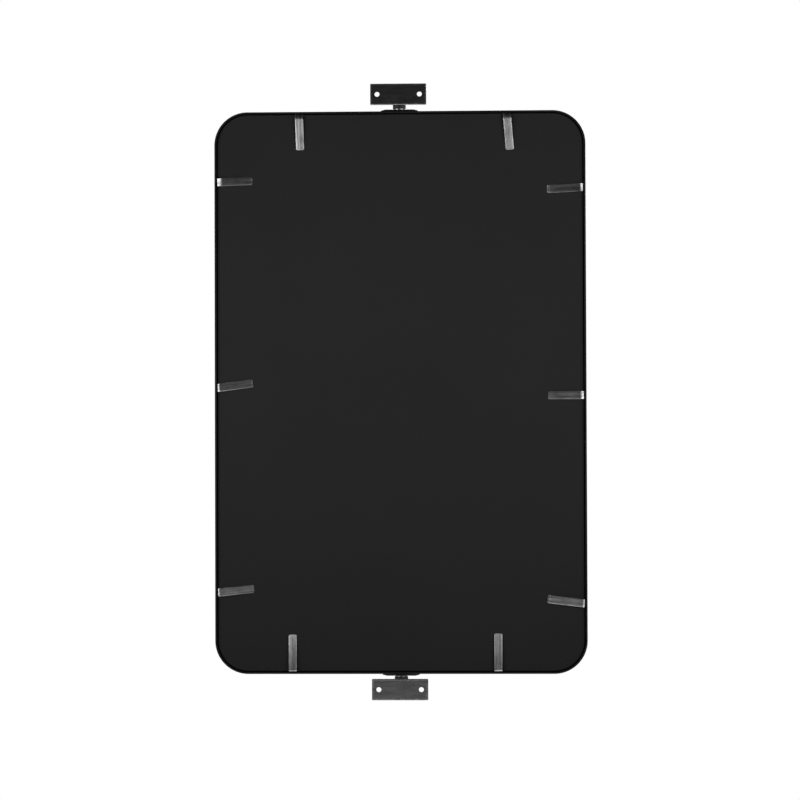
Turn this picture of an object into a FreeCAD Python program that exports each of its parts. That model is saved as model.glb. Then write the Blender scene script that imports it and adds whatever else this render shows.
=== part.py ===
import FreeCAD, Part
import math
import os

# Swivel wall mirror, 24 x 36 in class, in a shallow metal band frame.
#
# Frame of reference: the origin is the centre of the top wall plate's wall face.
# +Z is up, +X is to the right for somebody who looks at the mirror's back, and +Y
# points from the wall into the room.  The wall is the plane Y = 0.
#
# Two brackets are screwed to the wall, above and below the mirror.  Each is a plate,
# an arm and a barrel welded together.  The mirror hangs between the two barrels on two
# shoulder bolts and swivels about the vertical line through them.

Vector = FreeCAD.Vector

# ---------------------------------------------------------------- driving dimensions, mm

# mirror frame: a flat bar bent to a rounded rectangle, with a lip along its front edge
FRAME_WIDTH = 604.0
FRAME_HEIGHT = 914.0
FRAME_CORNER_RADIUS = 54.0
FRAME_DEPTH = 25.0
FRAME_WALL = 3.0
LIP_THICKNESS = 3.0
LIP_WIDTH = 8.0
FRAME_EDGE_CHAMFER = 0.5

# what lies in the frame, from the lip backwards
GLASS_THICKNESS = 4.0
LINER_THICKNESS = 2.0
BOARD_THICKNESS = 12.0
SHEET_EDGE_GAP = 1.5
BOARD_EDGE_CHAMFER = 0.6

# retaining tabs: steel strip, one leg welded to the frame's inner wall, bent by hand
TAB_WIDTH = 13.0
TAB_THICKNESS = 1.0
TAB_BEND_RADIUS = 4.0
TAB_CREST_OVER_BOARD = 4.5
TAB_LEG_BESIDE_BOARD = 8.0

# every tab: name, frame side, the end of that side that its place is counted from (+1 is
# the upper or right-hand end, -1 the other, 0 the middle), distance from there to the
# tab's middle, lean in degrees of its free end towards +Z or +X, and reach from the
# frame's inner wall to the free end
TABS = [
    ("tab_left_upper", "left", 1, 114.0, 2.4, 58.0),
    ("tab_left_middle", "left", 0, 7.5, 7.5, 58.5),
    ("tab_left_lower", "left", -1, 132.0, 6.0, 59.5),
    ("tab_right_upper", "right", 1, 125.5, -2.6, 59.0),
    ("tab_right_middle", "right", 0, -6.0, 0.0, 59.0),
    ("tab_right_lower", "right", -1, 113.5, 7.0, 61.0),
    ("tab_top_left", "top", -1, 138.0, 2.0, 59.0),
    ("tab_top_right", "top", 1, 127.5, 4.8, 60.5),
    ("tab_bottom_left", "bottom", -1, 126.0, 0.0, 60.5),
    ("tab_bottom_right", "bottom", 1, 144.5, 0.0, 62.0),
]

# wall brackets
PLATE_WIDTH = 90.0
PLATE_HEIGHT = 34.0
PLATE_THICKNESS = 4.0
PLATE_CORNER_RADIUS = 1.5
PLATE_EDGE_CHAMFER = 0.8
SCREW_HOLE_RADIUS = 4.0
SCREW_HOLE_SPACING = 68.0
PLATE_TO_FRAME = 3.0
PIVOT_STANDOFF = 68.0
ARM_RADIUS = 8.0
ARM_WELD = 2.5
BARREL_RADIUS = 11.0
BARREL_LENGTH = 24.0
BARREL_CHAMFER = 1.0

# swivel joints
FOOT_LENGTH = 60.0
FOOT_DEPTH = 21.0
FOOT_THICKNESS = 3.0
FOOT_END_TAPER = 7.0
FOOT_END_THICKNESS = 1.2
BASE_WASHER_RADIUS = 10.0
BASE_WASHER_THICKNESS = 1.5
SPRING_WASHER_RADIUS = 8.0
SPRING_WASHER_THICKNESS = 0.8
SPRING_WASHER_RISE = 0.5
BOLT_RADIUS = 4.0
BOLT_HEAD_RADIUS = 7.0
BOLT_HEAD_HEIGHT = 4.4
BOLT_HEAD_EDGE = 1.6
SOCKET_ACROSS_FLATS = 5.0
SOCKET_DEPTH = 2.6

# named clearances
PIVOT_RUNNING_CLEARANCE = 0.06
WASHER_CLEARANCE = 0.2
SWIVEL_GAP = 0.2
THREAD_CLEARANCE = 0.03
BOLT_END_SHORT_OF_WALL = 0.5

# how far a cutting shape runs past the face that it cuts
CUT_OVERRUN = 1.0

# ---------------------------------------------------------------- derived places, mm

PANEL_Z = -(PLATE_HEIGHT / 2 + PLATE_TO_FRAME + FRAME_HEIGHT / 2)
FRAME_BACK_Y = PIVOT_STANDOFF - FRAME_DEPTH / 2
FRAME_FRONT_Y = PIVOT_STANDOFF + FRAME_DEPTH / 2
LIP_BACK_Y = FRAME_FRONT_Y - LIP_THICKNESS
GLASS_BACK_Y = LIP_BACK_Y - GLASS_THICKNESS
LINER_BACK_Y = GLASS_BACK_Y - LINER_THICKNESS
BOARD_BACK_Y = LINER_BACK_Y - BOARD_THICKNESS
INNER_WIDTH = FRAME_WIDTH - 2 * FRAME_WALL
INNER_HEIGHT = FRAME_HEIGHT - 2 * FRAME_WALL
INNER_RADIUS = FRAME_CORNER_RADIUS - FRAME_WALL

# heights of the swivel's pieces, measured outwards from the middle of the mirror
FRAME_EDGE_H = FRAME_HEIGHT / 2
FOOT_TOP_H = FRAME_EDGE_H + FOOT_THICKNESS
BASE_WASHER_TOP_H = FOOT_TOP_H + BASE_WASHER_THICKNESS
BARREL_START_H = BASE_WASHER_TOP_H + SWIVEL_GAP
BARREL_END_H = BARREL_START_H + BARREL_LENGTH
SPRING_WASHER_START_H = BARREL_END_H + SWIVEL_GAP
SPRING_WASHER_END_H = SPRING_WASHER_START_H + SPRING_WASHER_THICKNESS + SPRING_WASHER_RISE
BOLT_HEAD_END_H = SPRING_WASHER_END_H + BOLT_HEAD_HEIGHT
BOLT_END_H = FRAME_EDGE_H - FRAME_WALL + BOLT_END_SHORT_OF_WALL
PLATE_MIDDLE_H = FRAME_EDGE_H + PLATE_TO_FRAME + PLATE_HEIGHT / 2
ARM_H = (BARREL_START_H + BARREL_END_H) / 2


# ---------------------------------------------------------------- shape helpers

def rounded_face(width, height, radius, y, z):
    """A rounded rectangle in the plane Y = y, centred on X = 0 and Z = z."""
    right = width / 2
    top = height / 2
    diagonal = radius * (1 - math.sqrt(0.5))
    edges = []
    for x_sign, z_sign in ((1, 1), (-1, 1), (-1, -1), (1, -1)):
        side_end = Vector(x_sign * right, y, z + z_sign * (top - radius))
        middle = Vector(x_sign * (right - diagonal), y, z + z_sign * (top - diagonal))
        flat_end = Vector(x_sign * (right - radius), y, z + z_sign * top)
        stops = (side_end, middle, flat_end)
        if x_sign != z_sign:
            stops = (flat_end, middle, side_end)
        if edges:
            edges.append(Part.makeLine(last, stops[0]))
        else:
            first = stops[0]
        edges.append(Part.Arc(*stops).toShape())
        last = stops[2]
    edges.append(Part.makeLine(last, first))
    return Part.Face(Part.Wire(edges))


def rounded_slab(width, height, radius, y_back, y_front, z=PANEL_Z):
    """A flat rounded slab between two depths."""
    return rounded_face(width, height, radius, y_back, z).extrude(Vector(0, y_front - y_back, 0))


def edges_at_depth(shape, y):
    """The edges of a shape that lie wholly in the plane Y = y."""
    return [e for e in shape.Edges if abs(e.BoundBox.YMin - y) < 1e-6 and abs(e.BoundBox.YMax - y) < 1e-6]


def upright_cylinder(radius, start_h, end_h, side):
    """A cylinder on the swivel axis, between two heights outwards from the mirror's middle."""
    base = Vector(0, PIVOT_STANDOFF, PANEL_Z + side * start_h)
    return Part.makeCylinder(radius, end_h - start_h, base, Vector(0, 0, side))


def revolved(points, side):
    """A turned piece on the swivel axis, from (radius, height outwards) points."""
    corners = [Vector(r, PIVOT_STANDOFF, PANEL_Z + side * h) for r, h in points]
    face = Part.Face(Part.makePolygon(corners + corners[:1]))
    return face.revolve(Vector(0, PIVOT_STANDOFF, 0), Vector(0, 0, 1), 360)


# ---------------------------------------------------------------- mirror

def frame():
    """The bent band with its front lip, drilled and tapped above and below for the bolts."""
    band = rounded_slab(FRAME_WIDTH, FRAME_HEIGHT, FRAME_CORNER_RADIUS, FRAME_BACK_Y, FRAME_FRONT_Y)
    sharp = edges_at_depth(band, FRAME_BACK_Y) + edges_at_depth(band, FRAME_FRONT_Y)
    band = band.makeChamfer(FRAME_EDGE_CHAMFER, sharp)
    pocket = rounded_slab(INNER_WIDTH, INNER_HEIGHT, INNER_RADIUS, FRAME_BACK_Y, LIP_BACK_Y)
    window = rounded_slab(
        FRAME_WIDTH - 2 * LIP_WIDTH,
        FRAME_HEIGHT - 2 * LIP_WIDTH,
        FRAME_CORNER_RADIUS - LIP_WIDTH,
        LIP_BACK_Y,
        FRAME_FRONT_Y,
    )
    body = band.cut(pocket).cut(window)
    hole_start = FRAME_EDGE_H - FRAME_WALL - CUT_OVERRUN
    hole_end = FRAME_EDGE_H + CUT_OVERRUN
    for side in (1, -1):
        body = body.cut(upright_cylinder(BOLT_RADIUS + THREAD_CLEARANCE, hole_start, hole_end, side))
    return body


def sheet(y_back, y_front):
    """One of the flat sheets that fill the frame, with its gap to the frame's wall."""
    return rounded_slab(
        INNER_WIDTH - 2 * SHEET_EDGE_GAP,
        INNER_HEIGHT - 2 * SHEET_EDGE_GAP,
        INNER_RADIUS - SHEET_EDGE_GAP,
        y_back,
        y_front,
    )


def backboard():
    """The black board behind the glass, its rear edge broken."""
    board = sheet(BOARD_BACK_Y, LINER_BACK_Y)
    return board.makeChamfer(BOARD_EDGE_CHAMFER, edges_at_depth(board, BOARD_BACK_Y))


def tab(frame_side, counted_from, distance, lean_deg, reach):
    """One bent strip: a welded leg, a round bend and a tongue that slopes onto the board.

    The side view is drawn in the plane that holds the strip's lean, with s running from
    the frame's wall along the strip and rise counted from the board's rear face.  It is
    extruded along the wall, so the leg stays flat on the wall whatever the lean is.
    """
    inward, along, wall, half_side = {
        "left": (Vector(1, 0, 0), Vector(0, 0, 1), INNER_WIDTH / 2, FRAME_HEIGHT / 2),
        "right": (Vector(-1, 0, 0), Vector(0, 0, 1), INNER_WIDTH / 2, FRAME_HEIGHT / 2),
        "top": (Vector(0, 0, -1), Vector(1, 0, 0), INNER_HEIGHT / 2, FRAME_WIDTH / 2),
        "bottom": (Vector(0, 0, 1), Vector(1, 0, 0), INNER_HEIGHT / 2, FRAME_WIDTH / 2),
    }[frame_side]
    place = counted_from * (half_side - distance) if counted_from else distance
    lean = math.radians(lean_deg)
    strip = inward * math.cos(lean) + along * math.sin(lean)
    root = Vector(0, BOARD_BACK_Y, PANEL_Z) - inward * wall + along * place

    def point(s, rise):
        return root + strip * s - Vector(0, rise, 0)

    outer = TAB_BEND_RADIUS + TAB_THICKNESS
    centre_rise = TAB_CREST_OVER_BOARD - outer
    tip = reach / math.cos(lean)
    # the tongue's lower face is the line from the tip on the board that touches the bend
    span = math.hypot(tip - outer, centre_rise)
    slope = math.asin(TAB_BEND_RADIUS / span) + math.atan2(centre_rise, tip - outer)
    turn = math.pi / 2 - slope

    def on_bend(radius, angle):
        return point(outer + radius * math.cos(angle), centre_rise + radius * math.sin(angle))

    half_way = (math.pi + turn) / 2
    foot_rise = -TAB_LEG_BESIDE_BOARD
    leg_outer = point(0, foot_rise)
    leg_inner = point(TAB_THICKNESS, foot_rise)
    tip_lower = point(tip, 0)
    tip_upper = point(tip + TAB_THICKNESS * math.cos(turn), TAB_THICKNESS * math.sin(turn))
    edges = [
        Part.makeLine(leg_outer, on_bend(outer, math.pi)),
        Part.Arc(on_bend(outer, math.pi), on_bend(outer, half_way), on_bend(outer, turn)).toShape(),
        Part.makeLine(on_bend(outer, turn), tip_upper),
        Part.makeLine(tip_upper, tip_lower),
        Part.makeLine(tip_lower, on_bend(TAB_BEND_RADIUS, turn)),
        Part.Arc(
            on_bend(TAB_BEND_RADIUS, turn),
            on_bend(TAB_BEND_RADIUS, half_way),
            on_bend(TAB_BEND_RADIUS, math.pi),
        ).toShape(),
        Part.makeLine(on_bend(TAB_BEND_RADIUS, math.pi), leg_inner),
        Part.makeLine(leg_inner, leg_outer),
    ]
    width = along * (TAB_WIDTH / math.cos(lean))
    side_view = Part.Face(Part.Wire(edges))
    side_view.translate(width * -0.5)
    return side_view.extrude(width)


# ---------------------------------------------------------------- swivels on the mirror

def foot_plate(side):
    """The plate welded on the frame's edge that takes the bolt, thinned towards its ends."""
    half = FOOT_LENGTH / 2
    flat = half - FOOT_END_TAPER
    outline = [
        (-half, 0),
        (half, 0),
        (half, FOOT_END_THICKNESS),
        (flat, FOOT_THICKNESS),
        (-flat, FOOT_THICKNESS),
        (-half, FOOT_END_THICKNESS),
    ]
    y = PIVOT_STANDOFF - FOOT_DEPTH / 2
    corners = [Vector(x, y, PANEL_Z + side * (FRAME_EDGE_H + h)) for x, h in outline]
    plate = Part.Face(Part.makePolygon(corners + corners[:1])).extrude(Vector(0, FOOT_DEPTH, 0))
    hole_start = FRAME_EDGE_H - CUT_OVERRUN
    hole_end = FOOT_TOP_H + CUT_OVERRUN
    return plate.cut(upright_cylinder(BOLT_RADIUS + THREAD_CLEARANCE, hole_start, hole_end, side))


def base_washer(side):
    """The flat washer that the barrel turns on."""
    disc = upright_cylinder(BASE_WASHER_RADIUS, FOOT_TOP_H, BASE_WASHER_TOP_H, side)
    hole_start = FOOT_TOP_H - CUT_OVERRUN
    hole_end = BASE_WASHER_TOP_H + CUT_OVERRUN
    return disc.cut(upright_cylinder(BOLT_RADIUS + WASHER_CLEARANCE, hole_start, hole_end, side))


def spring_washer(side):
    """A dished spring washer under the bolt's head, which gives the swivel its friction."""
    inner = BOLT_RADIUS + WASHER_CLEARANCE
    start = SPRING_WASHER_START_H
    return revolved(
        [
            (inner, start + SPRING_WASHER_RISE),
            (SPRING_WASHER_RADIUS, start),
            (SPRING_WASHER_RADIUS, start + SPRING_WASHER_THICKNESS),
            (inner, start + SPRING_WASHER_RISE + SPRING_WASHER_THICKNESS),
        ],
        side,
    )


def pivot_bolt(side):
    """A button-headed bolt with a hexagon socket, screwed into the foot plate and frame."""
    shank = upright_cylinder(BOLT_RADIUS, BOLT_END_H, SPRING_WASHER_END_H + BOLT_HEAD_EDGE, side)
    head = upright_cylinder(BOLT_HEAD_RADIUS, SPRING_WASHER_END_H, BOLT_HEAD_END_H, side)
    dome_height = BOLT_HEAD_HEIGHT - BOLT_HEAD_EDGE
    dome_radius = (BOLT_HEAD_RADIUS ** 2 + dome_height ** 2) / (2 * dome_height)
    dome_centre = Vector(0, PIVOT_STANDOFF, PANEL_Z + side * (BOLT_HEAD_END_H - dome_radius))
    head = head.common(Part.makeSphere(dome_radius, dome_centre))
    socket_radius = SOCKET_ACROSS_FLATS / math.sqrt(3)
    floor_z = PANEL_Z + side * (BOLT_HEAD_END_H - SOCKET_DEPTH)
    socket_centre = Vector(0, PIVOT_STANDOFF, floor_z)
    corners = []
    for step in range(6):
        angle = math.radians(60 * step)
        corners.append(socket_centre + Vector(math.cos(angle), math.sin(angle), 0) * socket_radius)
    hexagon = Part.Face(Part.makePolygon(corners + corners[:1]))
    socket = hexagon.extrude(Vector(0, 0, side * (SOCKET_DEPTH + CUT_OVERRUN)))
    return head.fuse(shank).removeSplitter().cut(socket)


# ---------------------------------------------------------------- wall brackets

def wall_plate(side):
    """The plate that is screwed to the wall, with two screw holes."""
    z = PANEL_Z + side * PLATE_MIDDLE_H
    plate = rounded_slab(PLATE_WIDTH, PLATE_HEIGHT, PLATE_CORNER_RADIUS, 0, PLATE_THICKNESS, z)
    sharp = edges_at_depth(plate, 0) + edges_at_depth(plate, PLATE_THICKNESS)
    plate = plate.makeChamfer(PLATE_EDGE_CHAMFER, sharp)
    hole_length = PLATE_THICKNESS + 2 * CUT_OVERRUN
    for x in (-SCREW_HOLE_SPACING / 2, SCREW_HOLE_SPACING / 2):
        hole_start = Vector(x, -CUT_OVERRUN, z)
        plate = plate.cut(Part.makeCylinder(SCREW_HOLE_RADIUS, hole_length, hole_start, Vector(0, 1, 0)))
    return plate


def bracket_arm(side):
    """The round bar between plate and barrel, with its weld at the plate, coped to the barrel."""
    start = Vector(0, PLATE_THICKNESS, PANEL_Z + side * ARM_H)
    outward = Vector(0, 1, 0)
    bar = Part.makeCylinder(ARM_RADIUS, PIVOT_STANDOFF - PLATE_THICKNESS, start, outward)
    weld = Part.makeCone(ARM_RADIUS + ARM_WELD, ARM_RADIUS, ARM_WELD, start, outward)
    barrel = upright_cylinder(BARREL_RADIUS, BARREL_START_H, BARREL_END_H, side)
    return bar.fuse(weld).removeSplitter().cut(barrel)


def pivot_barrel(side):
    """The barrel that the bolt passes through, with chamfered ends and a running bore."""
    barrel = revolved(
        [
            (0, BARREL_START_H),
            (BARREL_RADIUS - BARREL_CHAMFER, BARREL_START_H),
            (BARREL_RADIUS, BARREL_START_H + BARREL_CHAMFER),
            (BARREL_RADIUS, BARREL_END_H - BARREL_CHAMFER),
            (BARREL_RADIUS - BARREL_CHAMFER, BARREL_END_H),
            (0, BARREL_END_H),
        ],
        side,
    )
    bore_radius = BOLT_RADIUS + PIVOT_RUNNING_CLEARANCE
    bore_start = BARREL_START_H - CUT_OVERRUN
    bore_end = BARREL_END_H + CUT_OVERRUN
    return barrel.cut(upright_cylinder(bore_radius, bore_start, bore_end, side))


# ---------------------------------------------------------------- assembly

def assembly():
    """Every piece by its node name."""
    pieces = {
        "frame": frame(),
        "mirror_glass": sheet(GLASS_BACK_Y, LIP_BACK_Y),
        "foam_liner": sheet(LINER_BACK_Y, GLASS_BACK_Y),
        "backboard": backboard(),
    }
    for name, frame_side, counted_from, distance, lean_deg, reach in TABS:
        pieces[name] = tab(frame_side, counted_from, distance, lean_deg, reach)
    for end, side in (("top", 1), ("bottom", -1)):
        pieces["foot_plate_" + end] = foot_plate(side)
        pieces["base_washer_" + end] = base_washer(side)
        pieces["spring_washer_" + end] = spring_washer(side)
        pieces["pivot_bolt_" + end] = pivot_bolt(side)
        pieces["wall_plate_" + end] = wall_plate(side)
        pieces["bracket_arm_" + end] = bracket_arm(side)
        pieces["pivot_barrel_" + end] = pivot_barrel(side)
    return pieces


os.makedirs("parts", exist_ok=True)
for node, shape in assembly().items():
    if not shape.isValid() or len(shape.Solids) != 1:
        raise ValueError(node + " is not one valid solid")
    shape.Solids[0].exportStep("parts/" + node + ".step")
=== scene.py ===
import math

import bmesh
import bpy
import numpy as np
from mathutils import Euler, Matrix, Vector


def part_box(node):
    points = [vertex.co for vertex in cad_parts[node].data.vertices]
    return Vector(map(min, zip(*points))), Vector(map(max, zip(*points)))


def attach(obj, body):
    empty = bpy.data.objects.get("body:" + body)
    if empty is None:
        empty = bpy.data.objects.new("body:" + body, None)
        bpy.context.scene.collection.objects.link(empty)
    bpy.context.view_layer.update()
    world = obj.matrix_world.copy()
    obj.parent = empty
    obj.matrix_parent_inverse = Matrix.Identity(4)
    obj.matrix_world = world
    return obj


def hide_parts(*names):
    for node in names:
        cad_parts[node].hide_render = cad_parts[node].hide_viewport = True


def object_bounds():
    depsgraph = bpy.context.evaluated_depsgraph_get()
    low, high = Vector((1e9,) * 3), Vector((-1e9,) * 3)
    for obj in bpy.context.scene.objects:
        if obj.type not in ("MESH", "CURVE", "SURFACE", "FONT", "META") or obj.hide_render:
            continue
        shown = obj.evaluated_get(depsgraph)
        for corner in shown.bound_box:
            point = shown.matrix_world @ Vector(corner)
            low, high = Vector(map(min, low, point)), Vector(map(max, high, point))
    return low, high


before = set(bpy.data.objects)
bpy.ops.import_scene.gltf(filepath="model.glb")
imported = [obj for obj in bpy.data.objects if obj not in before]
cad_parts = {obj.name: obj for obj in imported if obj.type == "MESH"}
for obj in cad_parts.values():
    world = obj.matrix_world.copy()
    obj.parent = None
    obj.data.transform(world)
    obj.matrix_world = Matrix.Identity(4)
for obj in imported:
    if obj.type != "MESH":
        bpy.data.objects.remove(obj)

bl_info = {
    "name": "Swivel wall mirror",
    "version": (1, 0, 0),
    "blender": (4, 5, 0),
    "location": "3D View > Sidebar > Mirror",
    "description": "Dresses a framed swivel mirror and its wall brackets",
    "category": "Object",
}

CAD_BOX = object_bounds()
FRAME_LOW, FRAME_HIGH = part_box("frame")
BOARD_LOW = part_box("backboard")[0]
GLASS_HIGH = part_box("mirror_glass")[1]
MIDDLE = (FRAME_LOW + FRAME_HIGH) / 2
ENDS = ("top", "bottom")
TABS = sorted(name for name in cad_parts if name.startswith("tab_"))
MM = 0.001
MERGE_DISTANCE = 1e-7

# How each tab was bent by hand: its fold, its bow, its crease and its twist, as shares of
# the sizes tab_fold, tab_bow, tab_crease and tab_twist.
HAND = {
    "tab_left_upper": (1.25, 0.2, 0.6, 0.3),
    "tab_left_middle": (0.6, -0.6, 0.4, 1.0),
    "tab_left_lower": (0.45, 0.6, 0.9, -0.6),
    "tab_right_upper": (0.8, 0.3, 0.9, 1.2),
    "tab_right_middle": (0.9, 0.0, 0.4, 0.0),
    "tab_right_lower": (0.5, 0.4, 1.0, -0.8),
    "tab_top_left": (1.1, -0.4, 0.6, 0.5),
    "tab_top_right": (1.2, -0.3, 0.7, -0.8),
    "tab_bottom_left": (0.4, 0.6, 0.8, 0.2),
    "tab_bottom_right": (0.45, 0.4, 1.0, -0.4),
}

# Where a tab's centre line has its points, from the leg to the tip.
LEG_POINTS = 7
FOLD_POINTS = 26
TONGUE_POINTS = 29
TIP_POINTS = 15
FOLD_TURN = math.radians(84)
FOLD_START = 0.6 * MM

# Along a tab's section the edges roll down from this share of the half width outwards.
ROLL_START = 0.72
SECTION_FLAT = 0.86
SECTION_POINTS = 17

# The rim that closes a tab's end, as a share of the section, and how far past it the rim and
# its middle lie.
RIM_SHARE = 0.93
RIM_OUT = 0.12 * MM
RIM_MIDDLE_OUT = 0.13 * MM

# A strip's pattern starts this far, in metres of UV, from the last strip's.
UV_STEP = 0.37

# Weld beads. The length of a coin, the arm's two offsets and the foot's size are in weld radii.
BEAD_SIDES = 12
BEAD_RIPPLE = 0.12
BEAD_COIN = 1.3
ARM_WELD_POINTS = 120
ARM_WELD_SINK = 0.5
ARM_WELD_RISE = 0.6
FOOT_WELD_POINTS = 90
FOOT_WELD_INSET = 4 * MM
FOOT_WELD_SIZE = 0.9

# The room's light behind the mirror, with what it has more of low down, and in front of the
# mirror, with what it has more of high up.
BEHIND_GLOW = 0.034
BEHIND_LOW_GLOW = 0.02
BEFORE_GLOW = 0.6
BEFORE_HIGH_GLOW = 0.3

FLOOR_RINGS = 8
FLOOR_SIDES = 96
FLOOR_COLOUR = (0.86, 0.86, 0.85)

# Name, place, target, width, height and watts of each light.
SOFTBOXES = (
    ("left_softbox", (-1.0, -0.75, -0.33), (0.0, 0.06, -0.36), 0.9, 1.1, 4.2),
    ("right_softbox", (1.0, -0.75, -0.33), (0.0, 0.06, -0.36), 0.9, 1.1, 4.2),
    ("low_softbox", (-0.08, -2.2, -1.24), (0.0, 0.0, -0.954), 0.4, 0.24, 0.11),
    ("room_softbox", (1.7, 2.6, 1.0), (0.0, 0.08, -0.45), 1.3, 1.6, 60.0),
)
SOFTBOX_SPREAD = math.radians(100)


# ---------------------------------------------------------------- settings

class MirrorSizes(bpy.types.PropertyGroup):
    """Sizes of the modelled pieces that the frame's boxes do not give."""

    corner_radius: bpy.props.FloatProperty(
        name="Corner radius",
        description="Outer radius of the frame's corners",
        default=54 * MM, unit="LENGTH",
    )
    frame_wall: bpy.props.FloatProperty(
        name="Frame wall",
        description="Thickness of the frame's band",
        default=3 * MM, unit="LENGTH",
    )
    lip_width: bpy.props.FloatProperty(
        name="Lip width",
        description="Width of the lip in front of the glass",
        default=8 * MM, unit="LENGTH",
    )
    edge_round: bpy.props.FloatProperty(
        name="Edge round",
        description="Rounding of the frame's edges",
        default=0.7 * MM, unit="LENGTH",
    )
    tab_width: bpy.props.FloatProperty(
        name="Tab width",
        description="Width of a retaining tab",
        default=13 * MM, unit="LENGTH",
    )
    tab_thickness: bpy.props.FloatProperty(
        name="Tab thickness",
        description="Thickness of a retaining tab",
        default=1 * MM, unit="LENGTH",
    )
    tab_fold: bpy.props.FloatProperty(
        name="Tab fold",
        description="How far from the wall a tab's fold reaches",
        default=9 * MM, unit="LENGTH",
    )
    tab_leg: bpy.props.FloatProperty(
        name="Tab leg",
        description="How far a tab's leg runs beside the board",
        default=8 * MM, unit="LENGTH",
    )
    tab_bow: bpy.props.FloatProperty(
        name="Tab bow",
        description="How far a tab's tongue bows off a straight line",
        default=0.5 * MM, unit="LENGTH",
    )
    tab_tip: bpy.props.FloatProperty(
        name="Tab tip",
        description="Length of the end that is pressed down",
        default=4.5 * MM, unit="LENGTH",
    )
    tab_crease: bpy.props.FloatProperty(
        name="Tab crease",
        description="Height of the crease before the tip",
        default=1.2 * MM, unit="LENGTH",
    )
    tab_corner: bpy.props.FloatProperty(
        name="Tab corner",
        description="Radius of the tip's corners",
        default=2 * MM, unit="LENGTH",
    )
    tab_roll: bpy.props.FloatProperty(
        name="Tab roll",
        description="How far a tab's sheared edges roll down",
        default=0.25 * MM, unit="LENGTH",
    )
    tab_twist: bpy.props.FloatProperty(
        name="Tab twist",
        description="How much a tab may be twisted",
        default=math.radians(2.5), unit="ROTATION",
    )
    weld_radius: bpy.props.FloatProperty(
        name="Weld radius",
        description="Radius of a weld bead",
        default=1.5 * MM, unit="LENGTH",
    )


class MirrorFinishes(bpy.types.PropertyGroup):
    """Base colours of the finishes."""

    board: bpy.props.FloatVectorProperty(
        name="Board",
        description="Colour of the backboard",
        subtype="COLOR", default=(0.0156, 0.0156, 0.0156),
    )
    powder_coat: bpy.props.FloatVectorProperty(
        name="Powder coat",
        description="Colour of the frame's coating",
        subtype="COLOR", default=(0.004, 0.004, 0.004),
    )
    gunmetal: bpy.props.FloatVectorProperty(
        name="Gunmetal",
        description="Colour of the blackened brackets",
        subtype="COLOR", default=(0.14, 0.14, 0.14),
    )
    steel: bpy.props.FloatVectorProperty(
        name="Steel",
        description="Colour of the bare steel",
        subtype="COLOR", default=(0.50, 0.50, 0.50),
    )
    silver: bpy.props.FloatVectorProperty(
        name="Silver",
        description="Colour of the silvered glass",
        subtype="COLOR", default=(0.86, 0.88, 0.875),
    )


class MirrorStudio(bpy.types.PropertyGroup):
    """The camera and the floor."""

    distance: bpy.props.FloatProperty(
        name="Camera distance",
        description="From the wall plane to the camera",
        default=4.0, unit="LENGTH",
    )
    camera_right: bpy.props.FloatProperty(
        name="Camera to the right",
        description="Camera's place along X",
        default=0.131, unit="LENGTH",
    )
    camera_height: bpy.props.FloatProperty(
        name="Camera height",
        description="Camera's place along Z",
        default=-0.5655, unit="LENGTH",
    )
    pan: bpy.props.FloatProperty(
        name="Pan",
        description="Turn of the view towards +X",
        default=-0.0324, unit="ROTATION",
    )
    tilt: bpy.props.FloatProperty(
        name="Tilt",
        description="Turn of the view upwards",
        default=0.0186, unit="ROTATION",
    )
    roll: bpy.props.FloatProperty(
        name="Roll",
        description="Turn about the line of sight",
        default=-0.0033, unit="ROTATION",
    )
    lens: bpy.props.FloatProperty(
        name="Lens",
        description="Focal length in millimetres",
        default=112.5,
    )
    floor_drop: bpy.props.FloatProperty(
        name="Floor drop",
        description="From the lower wall plate down to the floor",
        default=0.36, unit="LENGTH",
    )
    floor_radius: bpy.props.FloatProperty(
        name="Floor radius",
        description="Where the floor has faded out",
        default=1.25, unit="LENGTH",
    )


# ---------------------------------------------------------------- node maths

class Number:
    """A number in a Tree. Python's operators on it add the Math nodes that work it out."""

    def __init__(self, tree, socket):
        self.tree = tree
        self.socket = socket

    def maths(self, operation, *operands):
        """One Math node fed with these operands, as numbers or as other Numbers."""
        sockets = {str(slot): operand for slot, operand in enumerate(operands)}
        node = self.tree.node("ShaderNodeMath", {"operation": operation}, **sockets)
        return Number(self.tree, node.outputs[0])

    def __add__(self, other):
        return self.maths("ADD", self, other)

    def __sub__(self, other):
        return self.maths("SUBTRACT", self, other)

    def __mul__(self, other):
        return self.maths("MULTIPLY", self, other)

    def __rsub__(self, other):
        return self.maths("SUBTRACT", other, self)

    def __abs__(self):
        return self.maths("ABSOLUTE", self)

    __radd__ = __add__
    __rmul__ = __mul__

    def step(self, start, end):
        """0 below start, 1 above end and a smooth rise between them."""
        settings = {"interpolation_type": "SMOOTHSTEP"}
        node = self.tree.node("ShaderNodeMapRange", settings, Value=self, From_Min=start, From_Max=end)
        return Number(self.tree, node.outputs["Result"])


class Tree:
    """A node tree that is filled by one method for every kind of node."""

    def __init__(self, tree):
        self.tree = tree
        self.tree.nodes.clear()

    def node(self, kind, settings=None, **sockets):
        """Adds a node, sets it up and then gives its sockets their values or links."""
        node = self.tree.nodes.new(kind)
        for name, setting in (settings or {}).items():
            setattr(node, name, setting)
        for name, value in sockets.items():
            self.feed(node, name.replace("_", " "), value)
        return node

    def feed(self, node, name, value):
        """Gives the named input, or the input of that number, a link or a constant."""
        slot = node.inputs[int(name)] if name.isdigit() else node.inputs[name]
        if isinstance(value, Number):
            value = value.socket
        if isinstance(value, bpy.types.NodeSocket):
            self.tree.links.new(value, slot)
        else:
            slot.default_value = value

    def number(self, socket):
        """A socket as a Number, to do sums with."""
        return Number(self, socket)


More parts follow.
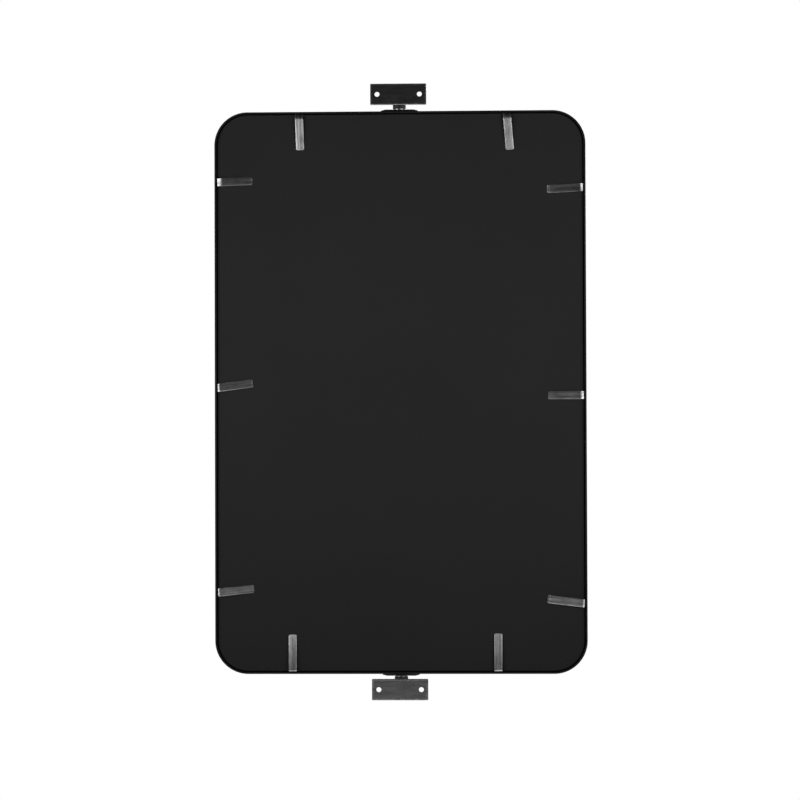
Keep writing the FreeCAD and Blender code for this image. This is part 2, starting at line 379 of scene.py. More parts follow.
class Finish(Tree):
    """A material with one Principled shader, and the patterns that the finishes share."""

    def __init__(self, name, source="Object"):
        self.material = bpy.data.materials.new(name)
        self.material.use_nodes = True
        super().__init__(self.material.node_tree)
        self.place = self.node("ShaderNodeTexCoord").outputs[source]

    def stretched(self, scale):
        """The place, scaled to pattern units per metre along each axis."""
        mapping = self.node("ShaderNodeMapping", {"vector_type": "POINT"}, Vector=self.place, Scale=scale)
        return mapping.outputs["Vector"]

    def noise(self, scale, detail=3.0, roughness=0.5):
        """Cloudy noise from 0 to 1, scale in clouds per metre along each axis."""
        if isinstance(scale, (int, float)):
            scale = (scale, scale, scale)
        place = self.stretched(scale)
        node = self.node("ShaderNodeTexNoise", Vector=place, Scale=1.0, Detail=detail, Roughness=roughness)
        return self.number(node.outputs["Fac"])

    def cells(self, scale):
        """The distance to the middle of the nearest of scattered cells, in cells."""
        node = self.node("ShaderNodeTexVoronoi", Vector=self.stretched((scale, scale, scale)), Scale=1.0)
        return self.number(node.outputs["Distance"])

    def specks(self, scale, threshold):
        """1 in scattered small dots and 0 between them."""
        return 1 - self.cells(scale).step(threshold * 0.5, threshold)

    def blend(self, first, second, share):
        """A colour between two colours, on the Mix node's sockets for its factor and colours."""
        sockets = {"0": share, "6": first, "7": second}
        return self.node("ShaderNodeMix", {"data_type": "RGBA"}, **sockets).outputs[2]

    def shade(self, colour, share):
        """A constant colour made lighter or darker by a Number."""
        sockets = {"0": colour[:3], "Scale": share}
        return self.node("ShaderNodeVectorMath", {"operation": "SCALE"}, **sockets).outputs[0]

    def bump(self, height, depth, strength=1.0):
        """A normal from a height field; depth is in metres for a height of 1."""
        node = self.node("ShaderNodeBump", Height=height, Distance=depth, Strength=strength)
        return node.outputs["Normal"]

    def surface(self, **sockets):
        """The Principled shader with these sockets, on the material's output."""
        shader = self.node("ShaderNodeBsdfPrincipled", **sockets)
        self.node("ShaderNodeOutputMaterial", Surface=shader.outputs[0])
        return self.material


def opaque(colour, factor=1.0):
    """A colour property as the four numbers of a colour socket, made lighter by a factor."""
    return (*(channel * factor for channel in colour), 1.0)


# ---------------------------------------------------------------- finishes

def board_finish(colours):
    """Matte black painted hardboard: fine felt-like grain, faint clouds, a little dust."""
    f = Finish("matte_black_board")
    clouds = f.noise(6.0, detail=4.0, roughness=0.55)
    grain = f.noise(900.0, detail=2.0, roughness=0.6)
    fibres = f.noise((700.0, 700.0, 60.0), detail=2.0)
    dust = f.specks(55.0, 0.035) * f.noise(9.0, detail=1.0).step(0.5, 0.75)
    tone = 0.86 + 0.2 * clouds + 0.1 * grain
    paint = f.shade(colours.board, tone)
    colour = f.blend(paint, opaque(colours.board, 2.6), dust * 0.5)
    normal = f.bump(grain * 0.6 + fibres * 0.4, 0.12 * MM, 0.5)
    return f.surface(
        Base_Color=colour, Roughness=0.78 + 0.12 * grain, Normal=normal, Specular_IOR_Level=0.18,
    )


def powder_coat_finish(colours):
    """Black powder coat: satin, with the fine orange peel of a baked coat."""
    f = Finish("black_powder_coat")
    peel = f.noise(850.0, detail=1.0, roughness=0.4)
    sweep = f.noise(14.0, detail=3.0)
    scuffs = f.noise((60.0, 400.0, 60.0), detail=4.0, roughness=0.7).step(0.66, 0.8)
    colour = f.blend(opaque(colours.powder_coat), opaque(colours.powder_coat, 4.0), scuffs * 0.5)
    normal = f.bump(peel, 0.05 * MM, 0.6)
    return f.surface(
        Base_Color=colour, Roughness=0.46 + 0.12 * sweep + 0.1 * scuffs, Normal=normal,
        Specular_IOR_Level=0.22,
    )


def gunmetal_finish(colours):
    """Blackened steel plate under a satin lacquer: rolling marks, handling wear, and a lighter rim that is
    part rub wear and part painted highlight.
    """
    f = Finish("blackened_steel")
    rolled = f.noise((30.0, 900.0, 900.0), detail=3.0, roughness=0.6)
    patina = f.noise(110.0, detail=5.0, roughness=0.65)
    smears = f.noise((45.0, 70.0, 160.0), detail=3.0, roughness=0.6).step(0.35, 0.7)
    wear = f.noise(260.0, detail=4.0, roughness=0.7).step(0.6, 0.82)
    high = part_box("wall_plate_top")[1]
    parts = f.node("ShaderNodeSeparateXYZ", Vector=f.place)
    side = abs(f.number(parts.outputs["X"]))
    # Height from the nearer wall plate's middle: one is at 0 and the other at twice MIDDLE.z.
    level = abs(abs(f.number(parts.outputs["Z"]) - MIDDLE.z) + MIDDLE.z)
    start, end = 3.6 * MM, 1.6 * MM
    # The plate's rim is painted lighter in patches: part rub wear, part painted highlight for the light
    # its chamfered edges catch.
    rim = side.step(high.x - start, high.x - end) + level.step(high.z - start, high.z - end)
    edge_wear_and_highlight = rim * f.noise(130.0, detail=3.0).step(0.3, 0.6)
    tone = 0.5 + 0.35 * patina + 0.3 * rolled + 0.35 * smears
    plain = f.shade(colours.gunmetal, tone)
    colour = f.blend(plain, opaque(colours.gunmetal, 2.4), wear * 0.3 + edge_wear_and_highlight * 0.7)
    normal = f.bump(rolled * 0.4 + patina * 0.6, 0.08 * MM, 0.6)
    return f.surface(
        Base_Color=colour, Metallic=0.9, Roughness=0.18 + 0.1 * patina, Normal=normal, Coat_Weight=0.05,
        Coat_Roughness=0.2,
    )


def scaled_steel_finish(colours):
    """Steel left with its dark scale by welding: rougher and darker, with burnt blotches."""
    f = Finish("weld_scaled_steel")
    scale = f.noise(180.0, detail=5.0, roughness=0.7)
    burnt = f.noise(60.0, detail=3.0).step(0.4, 0.7)
    tone = 0.16 + 0.3 * scale - 0.12 * burnt
    return f.surface(
        Base_Color=f.shade(colours.gunmetal, tone), Metallic=0.5, Roughness=0.48 + 0.2 * scale,
        Normal=f.bump(scale, 0.2 * MM, 0.7), Specular_IOR_Level=0.3,
    )


def brushed_strip_finish(colours, name, turn, painted_shade):
    """Bare steel strip, its fine streaks following the strip, clouded and stained by handling.

    The shader's anisotropy stands for the streaks that are too fine to draw; its turn, in
    whole turns from the level direction, sets them along the strip.  The last argument is the
    share by which the whole strip's colour is painted darker: a painted shade.
    """
    f = Finish(name, source="UV")
    parts = f.node("ShaderNodeSeparateXYZ", Vector=f.place)
    across = f.number(parts.outputs["X"])
    scratches = f.noise((520.0, 7.0, 1.0), detail=3.0, roughness=0.6)
    bands = f.noise((260.0, 9.0, 1.0), detail=2.0, roughness=0.5).step(0.3, 0.7)
    clouds = f.noise((90.0, 45.0, 1.0), detail=3.0, roughness=0.55).step(0.3, 0.7)
    stains = f.noise((130.0, 35.0, 1.0), detail=2.0, roughness=0.5).step(0.5, 0.8)
    # Painted highlight: the strip's long edges are painted lighter, for the light their rounded edges
    # catch.
    edge = abs(across).step(4.2 * MM, 6.0 * MM)
    # Painted shade: the whole tone is darkened by the given share, which the upright tabs get.
    tone = (0.22 + 0.3 * scratches + 0.46 * bands + 0.36 * clouds + 0.2 * edge) * (1 - painted_shade)
    normal = f.bump(scratches, 0.06 * MM)
    return f.surface(
        Base_Color=f.shade(colours.steel, tone * (1 - 0.45 * stains)), Metallic=1.0,
        Roughness=0.3 + 0.06 * scratches + 0.06 * (1 - clouds) + 0.08 * stains, Normal=normal,
        Anisotropic=0.9, Anisotropic_Rotation=turn,
    )


def turned_steel_finish(colours):
    """Zinc-plated steel of washers: fine turning marks and slight clouding."""
    f = Finish("plated_steel")
    clouds = f.noise(220.0, detail=3.0)
    marks = f.noise((300.0, 300.0, 4000.0), detail=2.0)
    tone = 0.35 + 0.4 * clouds + 0.2 * marks
    return f.surface(
        Base_Color=f.shade(colours.steel, tone), Metallic=1.0, Roughness=0.3 + 0.15 * clouds,
        Normal=f.bump(marks, 0.02 * MM, 0.5),
    )


def black_oxide_finish(colours):
    """Black oxide on the bolts: dark, slightly oily, with a soft mottle."""
    f = Finish("black_oxide")
    mottle = f.noise(420.0, detail=4.0, roughness=0.6)
    return f.surface(
        Base_Color=f.shade(colours.gunmetal, 0.3 + 0.4 * mottle), Metallic=0.6,
        Roughness=0.34 + 0.15 * mottle, Normal=f.bump(mottle, 0.02 * MM, 0.4),
    )


def silvered_glass_finish(colours):
    """Silvered plate glass: a mirror under a clear polished face, with the faintest haze."""
    f = Finish("silvered_glass")
    haze = f.noise(7.0, detail=4.0, roughness=0.6)
    return f.surface(
        Base_Color=f.shade(colours.silver, 0.98 + 0.03 * haze), Metallic=1.0,
        Roughness=0.012 + 0.02 * haze.step(0.5, 0.8), Coat_Weight=0.5, Coat_Roughness=0.0,
    )


def foam_finish():
    """White packing foam with closed cells."""
    f = Finish("liner_foam")
    cells = f.cells(600.0)
    return f.surface(
        Base_Color=f.shade((0.8, 0.8, 0.77), 0.85 + 0.2 * cells), Roughness=0.85,
        Normal=f.bump(cells, 0.2 * MM, 0.6),
    )


def floor_finish(radius):
    """Pale matte floor that fades out evenly all round."""
    f = Finish("pale_floor")
    sockets = {"0": f.stretched((1.0, 1.0, 0.0))}
    length = f.node("ShaderNodeVectorMath", {"operation": "LENGTH"}, **sockets)
    edge = f.number(length.outputs["Value"]).step(radius * 0.55, radius * 0.97)
    grain = f.noise(40.0, detail=2.0)
    return f.surface(
        Base_Color=f.shade(FLOOR_COLOUR, 0.97 + 0.04 * grain), Roughness=0.7, Alpha=1 - edge,
        Specular_IOR_Level=0.3, Emission_Color=opaque(FLOOR_COLOUR), Emission_Strength=0.5,
    )


# ---------------------------------------------------------------- shapes as grids of points

def grid_piece(name, points, closed_rows=False, uv=None):
    """A mesh object whose vertices are a grid of points (rows, columns, 3).

    Face (i, j) joins the points (i, j), (i, j+1), (i+1, j+1) and (i+1, j).  A row's last
    point joins its first, and with closed_rows the last row joins the first row.  Rows that
    shrink to one point close an end.
    """
    rows, columns = points.shape[:2]
    index = np.arange(rows * columns).reshape(rows, columns)
    here = index if closed_rows else index[:-1]
    after = np.roll(index, -1, axis=0) if closed_rows else index[1:]
    right_here = np.roll(here, -1, axis=1)
    right_after = np.roll(after, -1, axis=1)
    quads = np.stack([here, right_here, right_after, after], axis=-1).reshape(-1, 4)
    mesh = bpy.data.meshes.new(name)
    mesh.from_pydata(points.reshape(-1, 3).tolist(), [], quads.tolist())
    if uv is not None:
        layer = mesh.uv_layers.new(name="UVMap")
        corners = np.empty(len(mesh.loops), dtype=np.int32)
        mesh.loops.foreach_get("vertex_index", corners)
        layer.data.foreach_set("uv", uv.reshape(-1, 2)[corners].astype(np.float32).ravel())
    work = bmesh.new()
    work.from_mesh(mesh)
    bmesh.ops.remove_doubles(work, verts=work.verts, dist=MERGE_DISTANCE)
    bmesh.ops.recalc_face_normals(work, faces=work.faces)
    work.to_mesh(mesh)
    work.free()
    mesh.polygons.foreach_set("use_smooth", np.ones(len(mesh.polygons), dtype=bool))
    piece = bpy.data.objects.new(name, mesh)
    bpy.context.collection.objects.link(piece)
    return piece


def rounded_outline(corners, radius, steps=6, support=0.3 * MM):
    """A closed outline (n, 2) with its corners rounded.

    Each corner becomes an arc that touches both of its sides, centre + radius *
    (cos, sin) of an angle that runs evenly from one side's normal to the other's, with
    one more point on each side just past the arc, so that the flats shade flat.
    """
    corners = np.asarray(corners, dtype=float)
    points = []
    for before, corner, after in zip(np.roll(corners, 1, axis=0), corners, np.roll(corners, -1, axis=0)):
        inward = (before - corner) / np.linalg.norm(before - corner)
        outward = (after - corner) / np.linalg.norm(after - corner)
        half = math.acos(float(np.clip(inward @ outward, -1, 1))) / 2
        reach = radius / math.tan(half)
        bisector = (inward + outward) / np.linalg.norm(inward + outward)
        centre = corner + bisector * radius / math.sin(half)
        start = corner + inward * reach - centre
        end = corner + outward * reach - centre
        turn = math.atan2(start[0] * end[1] - start[1] * end[0], start @ end)
        angle = math.atan2(start[1], start[0]) + turn * np.linspace(0, 1, steps + 1)
        arc = centre + radius * np.stack([np.cos(angle), np.sin(angle)], axis=1)
        points += [corner + inward * (reach + support), *arc, corner + outward * (reach + support)]
    return np.array(points)


def rounded_rectangle_path(width, height, radius, steps):
    """Places (n, 2) and outward normals (n, 2) round a rounded rectangle.

    A quarter circle round each corner's centre: centre + radius * (cos a, sin a).  The
    straight sides are what joins one quarter's end to the next one's start.
    """
    angle = np.linspace(0, math.pi / 2, steps + 1)
    places, normals = [], []
    for quarter in range(4):
        turn = angle + quarter * math.pi / 2
        normal = np.stack([np.cos(turn), np.sin(turn)], axis=1)
        sign = np.sign(np.array([math.cos(turn[steps // 2]), math.sin(turn[steps // 2])]))
        places.append(sign * (np.array([width, height]) / 2 - radius) + radius * normal)
        normals.append(normal)
    return np.concatenate(places), np.concatenate(normals)


def frame_shell(sizes):
    """The frame's L-shaped section carried round the outer outline.

    A point of the section is (inset, depth); its place is the outline's point less inset
    times the outline's normal, at that depth.
    """
    size = FRAME_HIGH - FRAME_LOW
    wall, lip, back, front = sizes.frame_wall, sizes.lip_width, FRAME_LOW.y, FRAME_HIGH.y
    lip_back = GLASS_HIGH.y
    corners = [(0, back), (wall, back), (wall, lip_back), (lip, lip_back), (lip, front), (0, front)]
    section = rounded_outline(corners, sizes.edge_round)
    places, normals = rounded_rectangle_path(size.x, size.z, sizes.corner_radius, steps=40)
    inset = section[None, :, :1]
    flat = places[:, None, :] - inset * normals[:, None, :]
    depth = np.broadcast_to(section[None, :, 1], flat.shape[:2])
    points = np.stack([flat[..., 0] + MIDDLE.x, depth, flat[..., 1] + MIDDLE.z], axis=-1)
    return grid_piece("frame_band", points, closed_rows=True)


def smooth(t):
    """0 to 1 with level ends: t * t * (3 - 2 t), held inside 0 to 1."""
    t = np.clip(t, 0, 1)
    return t * t * (3 - 2 * t)


def tab_directions(name):
    """A tab's inward and along directions, from the side of the frame that its name gives."""
    return {
        "left": (np.array([1.0, 0, 0]), np.array([0, 0, 1.0])),
        "right": (np.array([-1.0, 0, 0]), np.array([0, 0, 1.0])),
        "top": (np.array([0, 0, -1.0]), np.array([1.0, 0, 0])),
        "bottom": (np.array([0, 0, 1.0]), np.array([1.0, 0, 0])),
    }[name.split("_")[1]]


def tab_stance(name, inward, along):
    """Where a tab's leg stands, its reach, its lean and its crest's height, from its CAD mesh."""
    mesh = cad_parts[name].data
    places = np.empty(len(mesh.vertices) * 3)
    mesh.vertices.foreach_get("co", places)
    places = places.reshape(-1, 3)
    distance, side = places @ inward, places @ along
    near_wall, near_tip = 0.05 * MM, 0.15 * MM
    at_wall = side[distance < distance.min() + near_wall]
    at_tip = side[distance > distance.max() - near_tip]
    start, end = (at_wall.min() + at_wall.max()) / 2, (at_tip.min() + at_tip.max()) / 2
    root = inward * distance.min() + along * start + np.array([0, BOARD_LOW.y, 0])
    reach = distance.max() - distance.min()
    crest = BOARD_LOW.y - places[:, 1].min()
    return root, reach, math.atan2(end - start, reach), crest


def tab_line(reach, lean, crest, sizes, fold, bow, crease):
    """A tab's centre line in the plane of its lean: distance from the wall, height over the board.

    The leg is straight.  The fold is a quarter ellipse, (1 - cos a, sin a) stretched to
    the fold's length and height.  The tongue runs straight down to the crease plus
    bow * 4 q (1 - q), and from the crease the tip turns down to the board in a smooth step.
    """
    half = sizes.tab_thickness / 2
    length = reach / math.cos(lean)
    top, start = crest - 1.1 * half, FOLD_START
    height = np.linspace(-sizes.tab_leg, start, LEG_POINTS + 1)[:-1]
    leg = np.stack([np.full(LEG_POINTS, half), height], axis=1)
    angle = np.linspace(0, FOLD_TURN, FOLD_POINTS)
    arc = np.stack([half + fold * (1 - np.cos(angle)), start + (top - start) * np.sin(angle)], axis=1)
    knee = np.array([length - sizes.tab_tip, half + crease])
    q = np.linspace(0, 1, TONGUE_POINTS + 1)[1:, None]
    tongue = arc[-1] + q * (knee - arc[-1]) + np.array([0, bow]) * 4 * q * (1 - q)
    slope = (knee - tongue[-4]) / np.linalg.norm(knee - tongue[-4])
    q = np.linspace(0, 1, TIP_POINTS + 1)[1:, None]
    straight = knee + q * sizes.tab_tip * slope
    drop = straight[-1, 1] - half
    tip = straight - np.array([0, drop]) * q * smooth(q * 3)
    return np.concatenate([leg, arc, tongue, tip])


def tab_section(sizes):
    """A tab's section: a flat strip whose long edges roll down, as sheared strip does.

    The corners of the rectangle become arcs, and a point sinks by roll times the square of
    how far it is from where the roll starts to the edge, from 0 to 1.
    """
    half_width, half_thick = sizes.tab_width / 2, sizes.tab_thickness / 2
    corners = np.array([(-1, -1), (1, -1), (1, 1), (-1, 1)]) * (half_width, half_thick)
    outline = rounded_outline(corners, half_thick * 0.7, steps=4, support=0.15 * MM)
    outline = np.roll(outline, -len(outline) // len(corners), axis=0)
    inner = np.linspace(-SECTION_FLAT, SECTION_FLAT, SECTION_POINTS)[:, None] * half_width
    low = np.concatenate([inner, np.full_like(inner, -half_thick)], axis=1)
    high = np.concatenate([inner[::-1], np.full_like(inner, half_thick)], axis=1)
    split = len(outline) // 2
    section = np.concatenate([outline[:split], high, outline[split:], low])
    into = np.clip((np.abs(section[:, 0]) / half_width - ROLL_START) / (1 - ROLL_START), 0, 1)
    section[:, 1] -= sizes.tab_roll * into**2
    return section


def tab_strip(name, sizes, fold, bow, crease, twist):
    """One hand-bent strip: its section carried along its centre line.

    The section's width turns by the lean while it goes round the fold, and by the twist
    along the tongue.  At the tip the width shrinks along a quarter circle, sqrt(1 - c^2)
    of the corner's radius, so that the tip has round corners.  Both ends are closed by a
    slightly smaller rim and its middle, just past the last section.
    """
    inward, along = tab_directions(name)
    root, reach, lean, crest = tab_stance(name, inward, along)
    line = tab_line(reach, lean, crest, sizes, fold, bow, crease)
    bent = LEG_POINTS + FOLD_POINTS
    rest = TONGUE_POINTS + TIP_POINTS
    turned = np.concatenate([np.zeros(LEG_POINTS), smooth(np.linspace(0, 1, FOLD_POINTS)), np.ones(rest)])
    twisted = np.concatenate([np.zeros(bent), smooth(np.linspace(0, 1, rest))])

    strip = inward * math.cos(lean) + along * math.sin(lean)
    up = np.array([0, -1.0, 0])
    centre = root + line[:, :1] * strip + line[:, 1:] * up
    tangent = np.gradient(centre, axis=0)
    tangent /= np.linalg.norm(tangent, axis=1, keepdims=True)
    width = np.cos(lean * turned)[:, None] * along - np.sin(lean * turned)[:, None] * inward
    normal = np.cross(tangent, width)
    normal /= np.linalg.norm(normal, axis=1, keepdims=True)
    normal *= np.sign(normal @ up)[bent]
    tilt = (twist * twisted)[:, None]
    width, normal = (
        width * np.cos(tilt) + normal * np.sin(tilt),
        normal * np.cos(tilt) - width * np.sin(tilt),
    )

    section = tab_section(sizes)
    run = np.concatenate([[0], np.cumsum(np.linalg.norm(np.diff(centre, axis=0), axis=1))])
    corner = sizes.tab_corner
    into = np.clip((run - run[-1] + corner) / corner, 0, 0.999)
    narrow = 1 - (1 - np.sqrt(1 - into**2)) * corner / (sizes.tab_width / 2)
    across = section[None, :, 0] * narrow[:, None]
    points = centre[:, None, :] + across[..., None] * width[:, None, :]
    points = points + section[None, :, 1:] * normal[:, None, :]
    uv = np.stack(np.broadcast_arrays(across, run[:, None]), axis=-1)
    for row, sense in ((0, -1), (-1, 1)):
        core = centre[row]
        rim = core + (points[row] - core) * RIM_SHARE + tangent[row] * sense * RIM_OUT
        closed = np.broadcast_to(core + tangent[row] * sense * RIM_MIDDLE_OUT, rim.shape)
        extra = np.stack([rim, closed] if sense > 0 else [closed, rim])
        points = np.concatenate([points, extra] if sense > 0 else [extra, points])
        mark = np.repeat(uv[row][None], 2, axis=0)
        uv = np.concatenate([uv, mark] if sense > 0 else [mark, uv])
    uv = uv + np.array([0.0, TABS.index(name) * UV_STEP])
    return grid_piece(name + "_strip", points, uv=uv)


def bead(name, centres, sides, radius, closed):
    """A weld bead: a circle carried along a line, its radius rippled like a row of coins.

    Ring i is centre + radius * ripple * (cos a * side + sin a * other side); the ripple is 1
    plus a share of the size of a sine along the line.  An open bead ends in quarter circles.
    """
    tangent = np.gradient(centres, axis=0)
    if closed:
        tangent = np.roll(centres, -1, axis=0) - np.roll(centres, 1, axis=0)
    tangent /= np.linalg.norm(tangent, axis=1, keepdims=True)
    other = np.cross(tangent, sides)
    angle = np.linspace(0, 2 * math.pi, BEAD_SIDES + 1)[:-1]
    run = np.concatenate([[0], np.cumsum(np.linalg.norm(np.diff(centres, axis=0), axis=1))])
    coins = max(round(run[-1] / (BEAD_COIN * radius)), 3)
    ripple = 1 + BEAD_RIPPLE * np.abs(np.sin(run / run[-1] * coins * math.pi))
    if not closed:
        end = np.clip(np.minimum(run, run[-1] - run) / radius, 0, 1)
        ripple = ripple * np.sqrt(end * (2 - end))
    cosine, sine = np.cos(angle)[None, :, None], np.sin(angle)[None, :, None]
    ring = cosine * sides[:, None, :] + sine * other[:, None, :]
    points = centres[:, None, :] + radius * ripple[:, None, None] * ring
    return grid_piece(name, points, closed_rows=closed)


# ---------------------------------------------------------------- operators

def finish_node(names, material):
    """Gives CAD nodes a finish and keeps their shape."""
    for name in names:
        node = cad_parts[name]
        node.data.materials.clear()
        node.data.materials.append(material)


def mount_piece(piece, material, body, node=None):
    """Gives a new piece its finish and body, and hides the node it stands for."""
    piece.data.materials.append(material)
    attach(piece, body)
    if node is not None:
        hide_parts(node)


class MIRROR_OT_frame(bpy.types.Operator):
    """Model the powder-coated band with its lip"""

    bl_idname = "mirror.frame"
    bl_label = "Frame"

    def execute(self, context):
        piece = frame_shell(context.scene.mirror_sizes)
        coat = powder_coat_finish(context.scene.mirror_finishes)
        mount_piece(piece, coat, "mirror", "frame")
        return {"FINISHED"}


class MIRROR_OT_sheets(bpy.types.Operator):
    """Finish the glass, the foam liner and the backboard"""

    bl_idname = "mirror.sheets"
    bl_label = "Glass, liner and board"

    def execute(self, context):
        colours = context.scene.mirror_finishes
        finish_node(["backboard"], board_finish(colours))
        finish_node(["mirror_glass"], silvered_glass_finish(colours))
        finish_node(["foam_liner"], foam_finish())
        return {"FINISHED"}


class MIRROR_OT_tabs(bpy.types.Operator):
    """Model the ten retaining tabs, each bent a little differently"""

    bl_idname = "mirror.tabs"
    bl_label = "Retaining tabs"

    def execute(self, context):
        sizes = context.scene.mirror_sizes
        colours = context.scene.mirror_finishes
        # The upright tabs get a copy of the steel painted 22 per cent darker, a painted shade.
        upright = brushed_strip_finish(colours, "brushed_steel_upright_painted_shade", turn=0.0, painted_shade=0.22)
        level = brushed_strip_finish(colours, "brushed_steel_level", turn=0.25, painted_shade=0.0)
        for name in TABS:
            material = upright if name.split("_")[1] in ENDS else level
            fold, bow, crease, twist = HAND[name]
            piece = tab_strip(
                name, sizes, fold * sizes.tab_fold, bow * sizes.tab_bow, crease * sizes.tab_crease,
                twist * sizes.tab_twist,
            )
            mount_piece(piece, material, "mirror", name)
        return {"FINISHED"}


class MIRROR_OT_swivels(bpy.types.Operator):
    """Finish the foot plates, washers and bolts of both swivels"""

    bl_idname = "mirror.swivels"
    bl_label = "Swivels"

    def execute(self, context):
        colours = context.scene.mirror_finishes
        finish_node(["foot_plate_" + end for end in ENDS], bpy.data.materials["black_powder_coat"])
        washers = [kind + end for kind in ("base_washer_", "spring_washer_") for end in ENDS]
        finish_node(washers, turned_steel_finish(colours))
        finish_node(["pivot_bolt_" + end for end in ENDS], black_oxide_finish(colours))
        return {"FINISHED"}


class MIRROR_OT_brackets(bpy.types.Operator):
    """Finish the wall plates, arms and barrels"""

    bl_idname = "mirror.brackets"
    bl_label = "Wall brackets"

    def execute(self, context):
        colours = context.scene.mirror_finishes
        finish_node(["wall_plate_" + end for end in ENDS], gunmetal_finish(colours))
        turned = [kind + end for kind in ("bracket_arm_", "pivot_barrel_") for end in ENDS]
        finish_node(turned, scaled_steel_finish(colours))
        return {"FINISHED"}


class MIRROR_OT_welds(bpy.types.Operator):
    """Lay the weld beads of the brackets and of the foot plates"""

    bl_idname = "mirror.welds"
    bl_label = "Weld beads"

    def execute(self, context):
        radius = context.scene.mirror_sizes.weld_radius
        for end in ENDS:
            self.arm_weld(end, radius)
            self.foot_welds(end, radius)
        return {"FINISHED"}

    def arm_weld(self, end, radius):
        """A ring round the arm where it stands on the wall plate."""
        low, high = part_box("bracket_arm_" + end)
        ring_radius = (high.x - low.x) / 2 - radius * ARM_WELD_SINK
        angle = np.linspace(0, 2 * math.pi, ARM_WELD_POINTS + 1)[:-1]
        side = np.stack([np.cos(angle), np.zeros_like(angle), np.sin(angle)], axis=1)
        depth = low.y + radius * ARM_WELD_RISE
        centre = np.array([(low.x + high.x) / 2, depth, (low.z + high.z) / 2])
        piece = bead("arm_weld_" + end, centre + ring_radius * side, side, radius, closed=True)
        mount_piece(piece, bpy.data.materials["weld_scaled_steel"], "wall_brackets")

    def foot_welds(self, end, radius):
        """A bead along each of the foot plate's two long edges."""
        low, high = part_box("foot_plate_" + end)
        up = 1.0 if end == "top" else -1.0
        level = low.z if end == "top" else high.z
        run = np.linspace(low.x + FOOT_WELD_INSET, high.x - FOOT_WELD_INSET, FOOT_WELD_POINTS)
        for label, depth in (("rear", low.y), ("front", high.y)):
            centres = np.stack([run, np.full_like(run, depth), np.full_like(run, level)], axis=1)
            sides = np.broadcast_to(np.array([0, 0, up]), centres.shape)
            name = "foot_weld_" + label + "_" + end
            piece = bead(name, centres, sides, radius * FOOT_WELD_SIZE, closed=False)
            mount_piece(piece, bpy.data.materials["black_powder_coat"], "mirror")


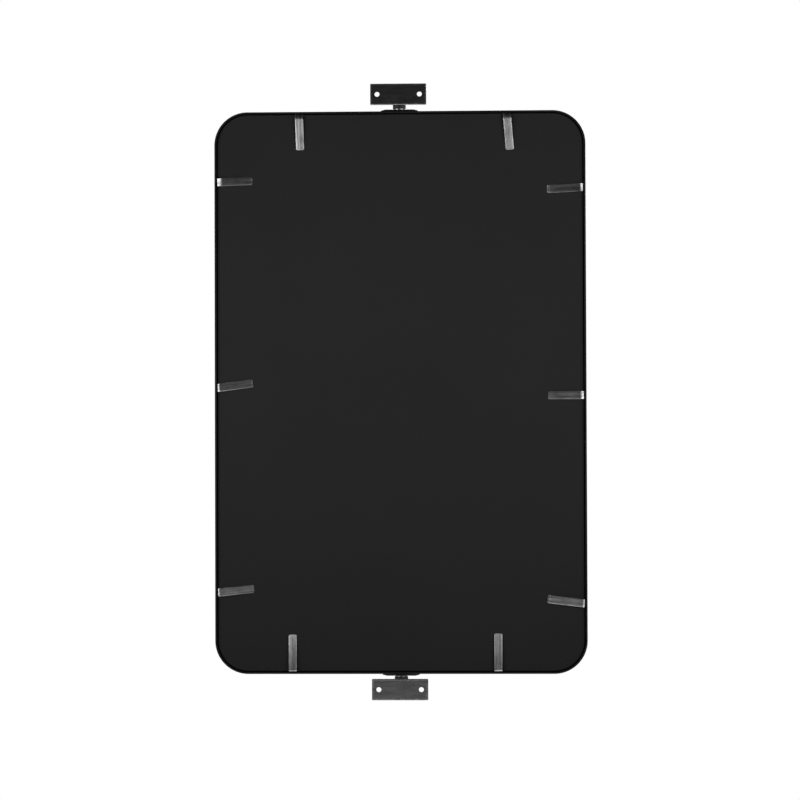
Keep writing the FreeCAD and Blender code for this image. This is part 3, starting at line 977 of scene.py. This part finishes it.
class MIRROR_OT_stage(bpy.types.Operator):
    """Set up the floor, the lights, the surroundings and the camera"""

    bl_idname = "mirror.stage"
    bl_label = "Studio"

    def execute(self, context):
        studio = context.scene.mirror_studio
        self.floor(studio)
        self.surroundings(context.scene)
        for name, place, target, width, height, power in SOFTBOXES:
            self.softbox(name, place, target, width, height, power)
        self.camera(context.scene, studio)
        return {"FINISHED"}

    def floor(self, studio):
        """A flat disc: rings of radius r at angle a, (r cos a, r sin a), shrinking to its middle."""
        ring = np.linspace(0, studio.floor_radius, FLOOR_RINGS + 1)[:, None]
        angle = np.linspace(0, 2 * math.pi, FLOOR_SIDES + 1)[:-1][None, :]
        level = CAD_BOX[0].z - studio.floor_drop
        across = ring * np.cos(angle)
        points = np.stack([across, ring * np.sin(angle), np.full_like(across, level)], axis=-1)
        floor = grid_piece("floor", points)
        floor.data.materials.append(floor_finish(studio.floor_radius))
        floor.visible_diffuse = False

    def surroundings(self, scene):
        """A pale room: light in front of the mirror, dim behind it, white where it is looked at."""
        world = bpy.data.worlds.new("studio")
        world.use_nodes = True
        scene.world = world
        tree = Tree(world.node_tree)
        direction = tree.node("ShaderNodeTexCoord").outputs["Generated"]
        parts = tree.node("ShaderNodeSeparateXYZ", Vector=direction)
        depth = tree.number(parts.outputs["Y"])
        height = tree.number(parts.outputs["Z"])
        facing = depth.step(-0.15, 0.55)
        behind = BEHIND_GLOW + BEHIND_LOW_GLOW * (1 - height.step(-0.55, 0.15))
        before = BEFORE_GLOW + BEFORE_HIGH_GLOW * height.step(-0.25, 0.35)
        glow = behind * (1 - facing) + before * facing
        seen = tree.number(tree.node("ShaderNodeLightPath").outputs["Is Camera Ray"])
        strength = glow * (1 - seen) + seen
        background = tree.node("ShaderNodeBackground", Color=(1, 1, 1, 1), Strength=strength)
        tree.node("ShaderNodeOutputWorld", Surface=background.outputs[0])
        scene.view_settings.view_transform = "Standard"

    def softbox(self, name, place, target, width, height, power):
        """A rectangular light that faces its target."""
        light = bpy.data.lights.new(name, "AREA")
        light.shape = "RECTANGLE"
        light.size = width
        light.size_y = height
        light.energy = power
        light.spread = SOFTBOX_SPREAD
        lamp = bpy.data.objects.new(name, light)
        lamp.location = place
        lamp.visible_camera = False
        lamp.rotation_euler = (Vector(target) - Vector(place)).to_track_quat("-Z", "Y").to_euler()
        bpy.context.collection.objects.link(lamp)

    def camera(self, scene, studio):
        """A long lens behind the mirror, a little below its middle and to its right."""
        lens = bpy.data.cameras.new("camera")
        lens.lens = studio.lens
        camera = bpy.data.objects.new("camera", lens)
        turned = Euler((math.pi / 2 + studio.tilt, 0, -studio.pan)).to_matrix()
        turned = turned @ Matrix.Rotation(studio.roll, 3, "Z")
        place = Vector((studio.camera_right, -studio.distance, studio.camera_height))
        camera.matrix_world = Matrix.Translation(place) @ turned.to_4x4()
        scene.collection.objects.link(camera)
        scene.camera = camera


class MIRROR_PT_pieces(bpy.types.Panel):
    """Lists the steps that dress the mirror"""

    bl_idname = "MIRROR_PT_pieces"
    bl_label = "Swivel mirror"
    bl_space_type = "VIEW_3D"
    bl_region_type = "UI"
    bl_category = "Mirror"

    def draw(self, context):
        scene = context.scene
        for group in (scene.mirror_sizes, scene.mirror_finishes, scene.mirror_studio):
            box = self.layout.box()
            for name in group.__annotations__:
                box.prop(group, name)
        for operator in OPERATORS:
            self.layout.operator(operator.bl_idname)


OPERATORS = (
    MIRROR_OT_frame,
    MIRROR_OT_sheets,
    MIRROR_OT_tabs,
    MIRROR_OT_swivels,
    MIRROR_OT_brackets,
    MIRROR_OT_welds,
    MIRROR_OT_stage,
)
CLASSES = (MirrorSizes, MirrorFinishes, MirrorStudio, *OPERATORS, MIRROR_PT_pieces)


def register():
    for cls in CLASSES:
        bpy.utils.register_class(cls)
    bpy.types.Scene.mirror_sizes = bpy.props.PointerProperty(type=MirrorSizes)
    bpy.types.Scene.mirror_finishes = bpy.props.PointerProperty(type=MirrorFinishes)
    bpy.types.Scene.mirror_studio = bpy.props.PointerProperty(type=MirrorStudio)


def unregister():
    del bpy.types.Scene.mirror_sizes
    del bpy.types.Scene.mirror_finishes
    del bpy.types.Scene.mirror_studio
    for cls in reversed(CLASSES):
        bpy.utils.unregister_class(cls)


def main():
    """Runs every step in order."""
    register()
    bpy.ops.mirror.frame()
    bpy.ops.mirror.sheets()
    bpy.ops.mirror.tabs()
    bpy.ops.mirror.swivels()
    bpy.ops.mirror.brackets()
    bpy.ops.mirror.welds()
    bpy.ops.mirror.stage()


if __name__ == "__main__":
    main()
